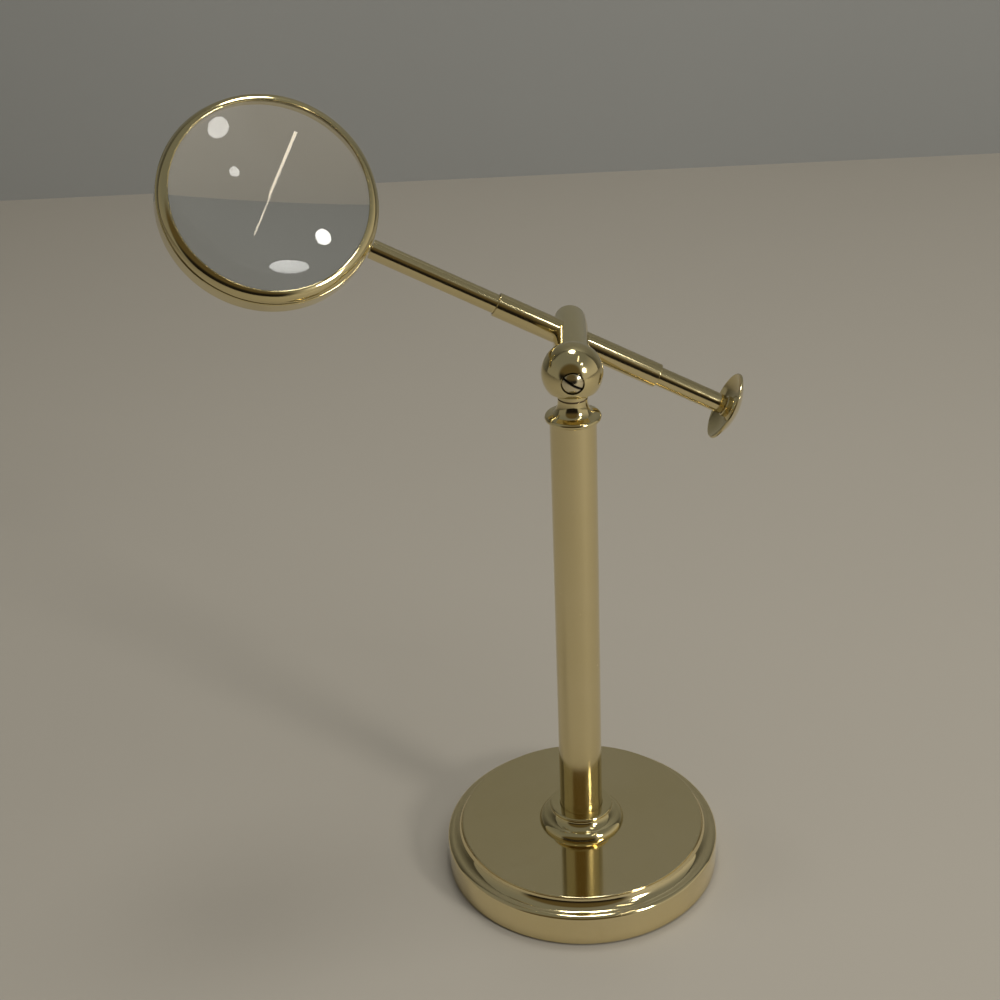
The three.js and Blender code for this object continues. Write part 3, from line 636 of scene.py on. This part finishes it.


# Table and backdrop
# A plain pale warm table that ends in front of a cooler wall, whose paint is darker towards its top as
# painted shade.
def plain_board(name, corners, low, high, painted_shade_share=1.0):
    """A flat board from its four corners, in metres, with a very faint cloud in its paint, which fades to a
    share of
    its tone between two heights: painted shade, darker higher up when that share is under 1."""
    painted_shade_from, painted_shade_to = 0.15, 0.7
    mesh = bpy.data.meshes.new(name)
    mesh.from_pydata(corners, [], [(0, 1, 2, 3)])
    board = bpy.data.objects.new(name, mesh)
    bpy.context.collection.objects.link(board)
    paint = Finish(name + "_paint")
    place = paint.make("ShaderNodeTexCoord", output="Object")
    colour = paint.mix(paint.noise(place, 3.0, 5.0), low, high)
    height = paint.make("ShaderNodeSeparateXYZ", {}, {"Vector": place}, 2)
    colour = paint.mix(paint.between(height, painted_shade_from, painted_shade_to), colour, tuple(painted_shade_share * tone for tone in high))
    sockets = {"Base Color": colour, "Roughness": 0.7, "Specular IOR Level": 0.2}
    shader = paint.make("ShaderNodeBsdfPrincipled", {}, sockets)
    paint.make("ShaderNodeOutputMaterial", {}, {"Surface": shader})
    mesh.materials.append(paint.material)


wide, near, far, skew, wall_foot, wall_top = 3.0, -0.95, 0.948, 0.05, -0.2, 2.6
far_left, far_right = far - skew * wide, far + skew * wide
plain_board(
    "table",
    [(-wide, near, 0), (wide, near, 0), (wide, far_right, 0), (-wide, far_left, 0)],
    low=(0.278, 0.256, 0.215),
    high=(0.293, 0.27, 0.227),
)
# Painted shade: the wall's paint darkens to 0.74 of its tone between 0.15 m and 0.7 m up.
plain_board(
    "wall",
    [
        (-wide, far_left, wall_foot),
        (wide, far_right, wall_foot),
        (wide, far_right, wall_top),
        (-wide, far_left, wall_top),
    ],
    low=(0.283, 0.286, 0.272),
    high=(0.3, 0.303, 0.288),
    painted_shade_share=0.74,
)


# Light
# A soft key and a smaller side lamp from the right and front, a soft lamp and a thin strip overhead, and a
# wide ceiling panel that lights dull surfaces and isn't mirrored in the brass. The room is brighter on the
# right, and darkest in front.
def soft_lamp(name, at, aim, size, power, colour=(1, 1, 1), length=None):
    """A disc of light, or a rectangle where it has a length, size metres across, that faces a point."""
    data = bpy.data.lights.new(name, "AREA")
    data.shape = "RECTANGLE" if length else "DISK"
    data.size, data.size_y, data.energy, data.color = size, length or size, power, colour
    lamp = bpy.data.objects.new(name, data)
    bpy.context.collection.objects.link(lamp)
    away = np.array(at, float) - np.array(aim, float)
    z = away / np.linalg.norm(away)
    x = np.cross([0, 1, 0], z)
    x /= np.linalg.norm(x)
    turn = np.column_stack([x, np.cross(z, x), z])
    matrix = np.eye(4)
    matrix[:3, :3], matrix[:3, 3] = turn, at
    lamp.matrix_world = Matrix(matrix.tolist())
    return lamp


pivot = np.array([0, 0, pivot_z * MM])
key_at = pivot + 1.3 * np.array([0.7, -0.6, 0.38])
side_at = pivot + 1.3 * np.array([0.565, -0.44, 0.698])
top_at = pivot + 1.1 * np.array([0.014, 0.253, 0.967])
soft_lamp("key_lamp", key_at, pivot, size=0.25, power=7.6, colour=(1.0, 0.97, 0.93))
soft_lamp("side_lamp", side_at, pivot, size=0.1, power=0.55, colour=(1.0, 0.98, 0.94))
soft_lamp("top_lamp", top_at, pivot, size=0.3, power=3.4, colour=(1.0, 0.99, 0.96))
strip_at, strip_aim, warm = (0.6, -0.39, 1.72), (0.6, -0.39, 0.0), (1.0, 0.88, 0.68)
soft_lamp("strip_lamp", strip_at, strip_aim, size=0.022, power=0.6, colour=warm, length=0.64)
panel_at, panel_aim = (0.55, -0.15, 2.3), (0.45, 0.25, 0.0)
panel = soft_lamp("ceiling_panel", panel_at, panel_aim, size=2.6, power=43.0, colour=(1.0, 0.995, 0.99))
panel.visible_glossy = panel.visible_transmission = False

room = Finish("room", bpy.data.worlds.new("room"))
bpy.context.scene.world = room.material
toward = room.make("ShaderNodeTexCoord", output="Generated")
side, up = (room.make("ShaderNodeSeparateXYZ", {}, {"Vector": toward}, number) for number in (0, 2))
dark_way = (-0.12, -0.97, 0.2)
in_front = room.make("ShaderNodeVectorMath", {"operation": "DOT_PRODUCT"}, {0: toward, 1: dark_way}, 1)
sides = room.mix(room.between(side, -0.6, 0.9), (0.24, 0.228, 0.195), (0.46, 0.43, 0.37))
ceiling = room.mix(room.between(up, 0.1, 0.8), sides, (0.19, 0.19, 0.175))
doorway = room.mix(room.between(up, 0.1, 0.4), (0.012, 0.01, 0.008), (0.1, 0.075, 0.035))
walls = room.mix(room.between(in_front, 0.66, 0.8), ceiling, doorway)
background = room.make("ShaderNodeBackground", {}, {"Color": walls, "Strength": 1.0})
room.make("ShaderNodeOutputWorld", {}, {"Surface": background})

# Camera
# It stands half a metre in front, looks down at 28 degrees, and is tipped a little to one side.
camera_data = bpy.data.cameras.new("camera")
camera_data.sensor_fit, camera_data.sensor_width, camera_data.lens = "HORIZONTAL", 36.0, 58.3045
camera_data.clip_start, camera_data.clip_end = 0.01, 50.0
camera = bpy.data.objects.new("camera", camera_data)
bpy.context.collection.objects.link(camera)
sideways = np.array([0.99897666, 0.02083891, -0.04014193])
upwards = np.array([0.02569165, 0.46898718, 0.88283122])
ahead = np.array([-0.03722329, 0.8829591, -0.46797186])
stand_at = np.array([-5.23, -516.74, 437.05]) * MM
camera_matrix = np.eye(4)
camera_matrix[:3, :3] = np.column_stack([sideways, upwards, -ahead])
camera_matrix[:3, 3] = stand_at
camera.matrix_world = Matrix(camera_matrix.tolist())
bpy.context.scene.camera = camera
bpy.context.scene.view_settings.view_transform = "Standard"
